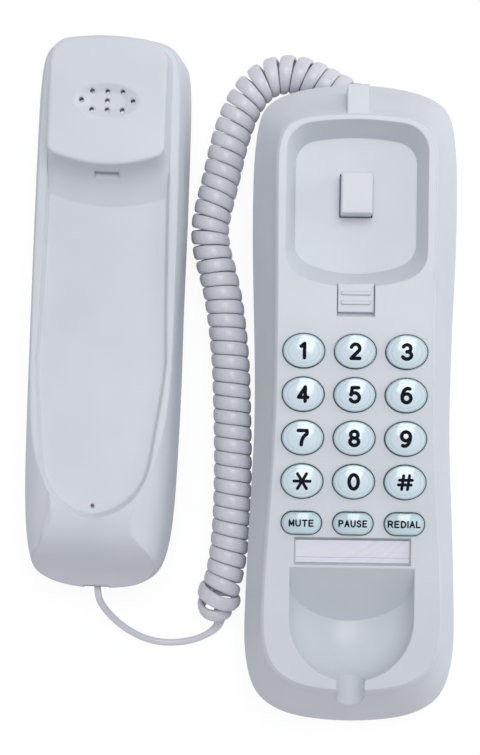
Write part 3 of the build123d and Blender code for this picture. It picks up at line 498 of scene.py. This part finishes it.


# The ring colours paint light: a tint that is also a painted band of refraction, painted shade toward the
# edge, and the painted shade of the gap round each key.
key_light = from_photo(222, 240, 248)
key_tint_and_refraction_band = from_photo(206, 228, 235)
key_edge_shade = from_photo(190, 216, 222)
key_gap_shade = from_photo(128, 160, 166)
oval_key = domed_key(
    "key_plastic", 0.0, (0.0, key_light), (0.62, key_light), (0.7, key_tint_and_refraction_band), (0.78, key_light),
    (0.88, key_edge_shade), (0.93, key_gap_shade),
)
dress(oval_key, *key_names)
function_low, function_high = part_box(function_key_names[0])
function_straight = 1 - (function_high[1] - function_low[1]) / (function_high[0] - function_low[0])
slim_key = domed_key(
    "function_key_plastic", function_straight, (0.0, key_tint_and_refraction_band), (0.6, key_tint_and_refraction_band), (0.78, key_edge_shade),
    (0.9, key_gap_shade),
)
dress(slim_key, *function_key_names)
print("clear caps on", len(key_names) + len(function_key_names), "keys")

# %% [markdown]
# The digits are printed on the caps in strokes of one width with round ends. Each character is a few
# strokes drawn in a box one wide and one high. In a stroke, a pair is a point, and six numbers are an arc:
# its middle, its two radii, and the angles where it begins and ends.

# %% The strokes of each character
glyph_strokes = {
    "0": [[(0.5, 0.5, 0.5, 0.5, 90, 450)]],
    "1": [[(0.2, 0.8), (0.58, 1.0)], [(0.58, 1.0), (0.58, 0.0)]],
    "2": [[(0.5, 0.71, 0.46, 0.29, 165, -30), (0.04, 0.0)], [(0.04, 0.0), (0.98, 0.0)]],
    "3": [[(0.48, 0.75, 0.42, 0.25, 155, -90)], [(0.48, 0.26, 0.5, 0.26, 90, -155)]],
    "4": [[(0.72, 0.0), (0.72, 1.0)], [(0.72, 1.0), (0.0, 0.28)], [(0.0, 0.28), (1.0, 0.28)]],
    "5": [[(0.9, 1.0), (0.2, 1.0)], [(0.2, 1.0), (0.1, 0.5)], [(0.47, 0.32, 0.51, 0.32, 145, -150)]],
    "6": [[(0.5, 0.31, 0.48, 0.31, 90, 450)], [(0.64, 0.36, 0.62, 0.64, 70, 180)]],
    "7": [[(0.02, 1.0), (0.98, 1.0)], [(0.98, 1.0), (1.2, 0.0, 0.84, 0.78, 105, 180)]],
    "8": [[(0.5, 0.76, 0.4, 0.24, 90, 450)], [(0.5, 0.26, 0.48, 0.26, 90, 450)]],
    "9": [[(0.5, 0.69, 0.48, 0.31, 90, 450)], [(0.36, 0.64, 0.62, 0.64, 0, -110)]],
    "*": [[(0.0, 0.5), (1.0, 0.5)], [(0.22, 0.0), (0.78, 1.0)], [(0.22, 1.0), (0.78, 0.0)]],
    "#": [[(0.38, 1.0), (0.24, 0.0)], [(0.8, 1.0), (0.66, 0.0)], [(0.08, 0.67), (1.0, 0.67)],
          [(0.0, 0.33), (0.92, 0.33)]],
    "A": [[(0.0, 0.0), (0.5, 1.0)], [(0.5, 1.0), (1.0, 0.0)], [(0.2, 0.35), (0.8, 0.35)]],
    "D": [[(0.0, 0.0), (0.0, 1.0)], [(0.0, 1.0), (0.4, 0.5, 0.58, 0.5, 90, -90), (0.0, 0.0)]],
    "E": [[(0.0, 0.0), (0.0, 1.0)], [(0.0, 1.0), (0.9, 1.0)], [(0.0, 0.52), (0.8, 0.52)],
          [(0.0, 0.0), (0.9, 0.0)]],
    "I": [[(0.0, 0.0), (0.0, 1.0)]],
    "L": [[(0.0, 1.0), (0.0, 0.0)], [(0.0, 0.0), (0.85, 0.0)]],
    "M": [[(0.0, 0.0), (0.0, 1.0)], [(0.0, 1.0), (0.5, 0.2)], [(0.5, 0.2), (1.0, 1.0)],
          [(1.0, 1.0), (1.0, 0.0)]],
    "P": [[(0.0, 0.0), (0.0, 1.0)], [(0.0, 1.0), (0.5, 0.74, 0.46, 0.26, 90, -90), (0.0, 0.48)]],
    "R": [[(0.0, 0.0), (0.0, 1.0)], [(0.0, 1.0), (0.5, 0.74, 0.46, 0.26, 90, -90), (0.0, 0.48)],
          [(0.5, 0.48), (0.98, 0.0)]],
    "S": [[(0.5, 0.76, 0.42, 0.24, 20, 270), (0.5, 0.26, 0.46, 0.26, 90, -160)]],
    "T": [[(0.0, 1.0), (1.0, 1.0)], [(0.5, 1.0), (0.5, 0.0)]],
    "U": [[(0.0, 1.0), (0.5, 0.38, 0.5, 0.38, 180, 360), (1.0, 1.0)]],
}
print(len(glyph_strokes), "characters")

# %% [markdown]
# Each stroke becomes a ribbon of small faces with a disc at both ends. Every point of it is then dropped on
# the key from above, so the print follows the dome. A hair's breadth of height keeps the print from
# flickering against the cap, and the print moves with its key when that is pressed.

# %% Print on the keys
print_lift = 0.03 * MM
stroke_step = 0.35 * MM
degrees_per_step = 12
disc_sides = 14
letter_gap_share = 0.55
drop_height = 5 * MM
ink = moulded("key_ink", from_photo(18, 22, 38), from_photo(10, 13, 26), 0.7, 0.3 * MM, 0.004 * MM, 0.0)
ink.shader.inputs["Specular IOR Level"].default_value = 0.12


def stroke_line(steps, corner, width, height):
    """A stroke's points on the key, close enough together to follow its dome."""
    ends = []
    for step in steps:
        if len(step) == 2:
            ends.append(step)
            continue
        centre_x, centre_y, radius_x, radius_y, first, last = step
        count = max(2, round(abs(last - first) / degrees_per_step))
        for index in range(count + 1):
            angle = math.radians(first + (last - first) * index / count)
            ends.append((centre_x + radius_x * math.cos(angle), centre_y + radius_y * math.sin(angle)))
    ends = [corner + Vector((x * width, y * height, 0)) for x, y in ends]
    points = [ends[0]]
    for before, after in zip(ends, ends[1:]):
        count = max(1, math.ceil((after - before).length / stroke_step))
        points += [before.lerp(after, (index + 1) / count) for index in range(count)]
    return points


def add_ribbon(bm, points, thickness):
    """A flat ribbon along the points, with a disc at both ends."""
    pairs = []
    for index, point in enumerate(points):
        way = (points[min(len(points) - 1, index + 1)] - points[max(0, index - 1)]).normalized()
        side = Vector((-way.y, way.x, 0)) * (thickness / 2)
        pairs.append((bm.verts.new(point + side), bm.verts.new(point - side)))
    for (left, right), (next_left, next_right) in zip(pairs, pairs[1:]):
        bm.faces.new((left, right, next_right, next_left))
    for end in (points[0], points[-1]):
        disc = []
        for index in range(disc_sides):
            angle = 2 * math.pi * index / disc_sides
            disc.append(bm.verts.new(end + Vector((math.cos(angle), math.sin(angle), 0)) * (thickness / 2)))
        bm.faces.new(disc)


def printed_on(key_name, words, width, height, thickness):
    """The words in ink, that wide and high in all, on the middle of a key's domed top."""
    low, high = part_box(key_name)
    shares = [0.0 if letter == "I" else 1.0 for letter in words]
    letter_width = (width - thickness) / (sum(shares) + letter_gap_share * (len(words) - 1))
    letter_height = height - thickness
    corner = Vector(((low[0] + high[0] - width + thickness) / 2, (low[1] + high[1] - letter_height) / 2, 0))
    bm = bmesh.new()
    for letter, share in zip(words, shares):
        for steps in glyph_strokes[letter]:
            add_ribbon(bm, stroke_line(steps, corner, letter_width, letter_height), thickness)
        corner = corner + Vector((letter_width * (share + letter_gap_share), 0, 0))
    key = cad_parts[key_name]
    above = high[2] + drop_height
    for vertex in bm.verts:
        hit, where, _, _ = key.ray_cast(Vector((vertex.co.x, vertex.co.y, above)), Vector((0, 0, -1)))
        vertex.co.z = (where.z if hit else high[2]) + print_lift
    mesh = bpy.data.meshes.new(key_name + "_print")
    bm.to_mesh(mesh)
    bm.free()
    mesh.materials.append(ink.material)
    piece = bpy.data.objects.new(key_name + "_print", mesh)
    bpy.context.scene.collection.objects.link(piece)
    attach(piece, key_name + "_body")


digit_width = 4.0 * MM
digit_height = 5.6 * MM
digit_stroke = 1.15 * MM
for number in range(10):
    printed_on("key_%d" % number, str(number), digit_width, digit_height, digit_stroke)
printed_on("key_star", "*", 6.0 * MM, digit_height, 0.95 * MM)
printed_on("key_hash", "#", 5.3 * MM, 5.3 * MM, 0.95 * MM)
word_height = 2.3 * MM
word_stroke = 0.48 * MM
for key_name, word, word_width in zip(function_key_names, ("MUTE", "PAUSE", "REDIAL"), (8.0, 9.2, 10.6)):
    printed_on(key_name, word, word_width * MM, word_height, word_stroke)
print("ink on 15 keys")

# %% [markdown]
# The index card sits under a clear strip. It is thin pale card with a printed rule near its lower edge and a
# painted shadow of the frame: a darker line along its border.

# %% The index card and its window
card = Finish("index_card_paper")
card_coordinates = card.node("ShaderNodeTexCoord")
card_split = card.node("ShaderNodeSeparateXYZ")
card.join(card_coordinates.outputs["Generated"], card_split.inputs["Vector"])
card_white = from_photo(243, 246, 253)
card_line = from_photo(176, 180, 206)
# Painted shadow of the frame along the card's top and bottom border.
card_frame_shadow = from_photo(120, 122, 150)
card_grain_size = 1.0 * MM
card_grain_depth = 0.002 * MM
ruled = card.ramp(
    card_split.outputs["Y"], (0.0, card_frame_shadow), (0.05, card_white), (0.225, card_white), (0.245, card_line),
    (0.265, card_white), (0.94, card_white), (0.98, card_frame_shadow),
)
card.join(ruled, card.shader.inputs["Base Color"])
card.shader.inputs["Roughness"].default_value = 0.7
card.grain(card.noise(card_coordinates.outputs["Object"], 1 / card_grain_size), card_grain_depth)
dress(card, "index_card")

window = Finish("window_clear")
window.shader.inputs["Base Color"].default_value = from_photo(236, 239, 248)
window.shader.inputs["Alpha"].default_value = 0.12
window.shader.inputs["Roughness"].default_value = 0.14
dress(window, "index_window")
print("card and window dressed")

# %% [markdown]
# The pieces inside are seldom seen, but the part is opened and turned over by the people who reuse it, so
# each gets a finish of its own: green circuit boards, brushed steel screws, black moulded sockets, soft
# grey rubber and the clear plastic of the cord's two plugs.

# %% Finishes of the inner pieces
drawn_line_length = 3 * MM
drawn_line_width = 0.15 * MM
drawn_line_depth = 0.006 * MM
metal_edge_radius = 0.15 * MM
board = moulded(
    "circuit_board_green", from_photo(60, 122, 76), from_photo(38, 92, 54), 0.38, 0.6 * MM, 0.01 * MM,
    drift_size=4 * MM,
)
dress(board, "keypad_circuit_board", "main_circuit_board")
black = moulded("black_moulding", from_photo(46, 46, 50), from_photo(34, 34, 38), 0.5, 0.4 * MM, 0.015 * MM)
dress(black, "board_components", "ringer_buzzer", "hook_switch_housing", "base_handset_jack", "line_jack",
      "handset_jack")
rubber = moulded("foot_rubber", from_photo(58, 58, 62), from_photo(44, 44, 48), 0.75, 0.5 * MM, 0.03 * MM)
dress(rubber, "rubber_feet")
grey_rubber = moulded(
    "grey_rubber", from_photo(170, 174, 180), from_photo(156, 160, 168), 0.7, 0.5 * MM, 0.02 * MM
)
dress(grey_rubber, "keypad_membrane", "receiver_gasket", "microphone_boot")
clear_plug = moulded(
    "plug_clear", from_photo(226, 228, 232), from_photo(216, 218, 224), 0.12, 1.0 * MM, 0.004 * MM
)
clear_plug.shader.inputs["Transmission Weight"].default_value = 0.6
dress(clear_plug, "base_cord_plug", "handset_cord_plug")


def brushed(name, light, dark, roughness):
    """Metal with fine drawn lines: noise stretched along one direction."""
    finish = Finish(name)
    place = finish.node("ShaderNodeTexCoord").outputs["Object"]
    stretch = finish.node("ShaderNodeMapping")
    stretch.inputs["Scale"].default_value = (
        1 / drawn_line_length, 1 / drawn_line_width, 1 / drawn_line_width
    )
    finish.join(place, stretch.inputs["Vector"])
    lines = finish.noise(stretch.outputs["Vector"], 1.0)
    finish.join(finish.ramp(lines, *zip(drift_stops, (dark, light))), finish.shader.inputs["Base Color"])
    finish.shader.inputs["Metallic"].default_value = 1.0
    finish.shader.inputs["Roughness"].default_value = roughness
    finish.grain(lines, drawn_line_depth, metal_edge_radius)
    return finish


steel = brushed("screw_steel", from_photo(206, 206, 210), from_photo(170, 170, 176), 0.3)
dress(
    steel, "base_screws", "keypad_board_screws", "main_board_screws", "handset_screws", "hook_switch_spring"
)
weight_steel = brushed("weight_steel", from_photo(150, 150, 154), from_photo(118, 118, 124), 0.5)
dress(weight_steel, "handset_weight")
capsule = brushed("capsule_metal", from_photo(214, 214, 218), from_photo(188, 188, 194), 0.35)
dress(capsule, "receiver_capsule", "microphone_capsule")
print("inner finishes set")

# %% [markdown]
# The light is that of a product picture: a large soft lamp high up, beyond the phone's far end, so that
# every upright wall is darker than the faces that look up, and a second lamp low on the right that brightens
# the crowned edge on that side. A pale room all round keeps the shade from going dark. The floor looks
# white to the camera and still takes the object's shadow.

# %% Floor, lamps and room
table_reach = 1.5
table_drop = 0.1 * MM
table_glow = 1.06
table_whiteness = 0.86
floor_corners = [(side_x * table_reach, side_y * table_reach, 0)
                 for side_x, side_y in ((-1, -1), (1, -1), (1, 1), (-1, 1))]
floor_mesh = bpy.data.meshes.new("table_top")
floor_mesh.from_pydata(floor_corners, [], [(0, 1, 2, 3)])
floor = bpy.data.objects.new("table_top", floor_mesh)
floor.location.z = -table_drop
bpy.context.scene.collection.objects.link(floor)

table = Finish("table_white")
table.shader.inputs["Base Color"].default_value = (0.82, 0.83, 0.85, 1.0)
table.shader.inputs["Roughness"].default_value = 0.8
glow = table.node("ShaderNodeEmission")
glow.inputs["Color"].default_value = (1.0, 1.0, 1.0, 1.0)
glow.inputs["Strength"].default_value = table_glow
seen = table.node("ShaderNodeLightPath")
seen_any = table.sums("MAXIMUM", seen.outputs["Is Camera Ray"], seen.outputs["Is Transmission Ray"])
whiteness = table.sums("MULTIPLY", seen_any, table_whiteness)
blend_floor = table.node("ShaderNodeMixShader")
table.join(whiteness, blend_floor.inputs["Fac"])
table.join(table.shader.outputs["BSDF"], blend_floor.inputs[1])
table.join(glow.outputs["Emission"], blend_floor.inputs[2])
table.join(blend_floor.outputs["Shader"], table.tree.nodes["Material Output"].inputs["Surface"])
floor_mesh.materials.append(table.material)

world = bpy.data.worlds.new("pale_room")
bpy.context.scene.world = world
world.use_nodes = True
room = world.node_tree
sky = room.nodes["Background"]
sky.inputs["Color"].default_value = (0.965, 0.95, 1.0, 1.0)
sky.inputs["Strength"].default_value = 0.5
white = room.nodes.new("ShaderNodeBackground")
white.inputs["Color"].default_value = (1.0, 1.0, 1.0, 1.0)
room_seen = room.nodes.new("ShaderNodeLightPath")
room_mix = room.nodes.new("ShaderNodeMixShader")
room.links.new(room_seen.outputs["Is Camera Ray"], room_mix.inputs["Fac"])
room.links.new(sky.outputs["Background"], room_mix.inputs[1])
room.links.new(white.outputs["Background"], room_mix.inputs[2])
room.links.new(room_mix.outputs["Shader"], room.nodes["World Output"].inputs["Surface"])


def soft_lamp(name, place, target, size, watts):
    """A square lamp that faces a point."""
    data = bpy.data.lights.new(name, "AREA")
    data.size = size
    data.energy = watts
    lamp = bpy.data.objects.new(name, data)
    lamp.location = place
    lamp.rotation_euler = (Vector(target) - Vector(place)).to_track_quat("-Z", "Y").to_euler()
    bpy.context.scene.collection.objects.link(lamp)


lamp_target = (-0.02, 0, 0)
soft_lamp("top_lamp", place=(0.1, 0.34, 1.12), target=lamp_target, size=0.6, watts=4.7)
soft_lamp("side_lamp", place=(1.0, 0.3, 0.3), target=lamp_target, size=0.5, watts=2.6)
bpy.context.scene.view_settings.view_transform = "Standard"
print("floor, room and two lamps")
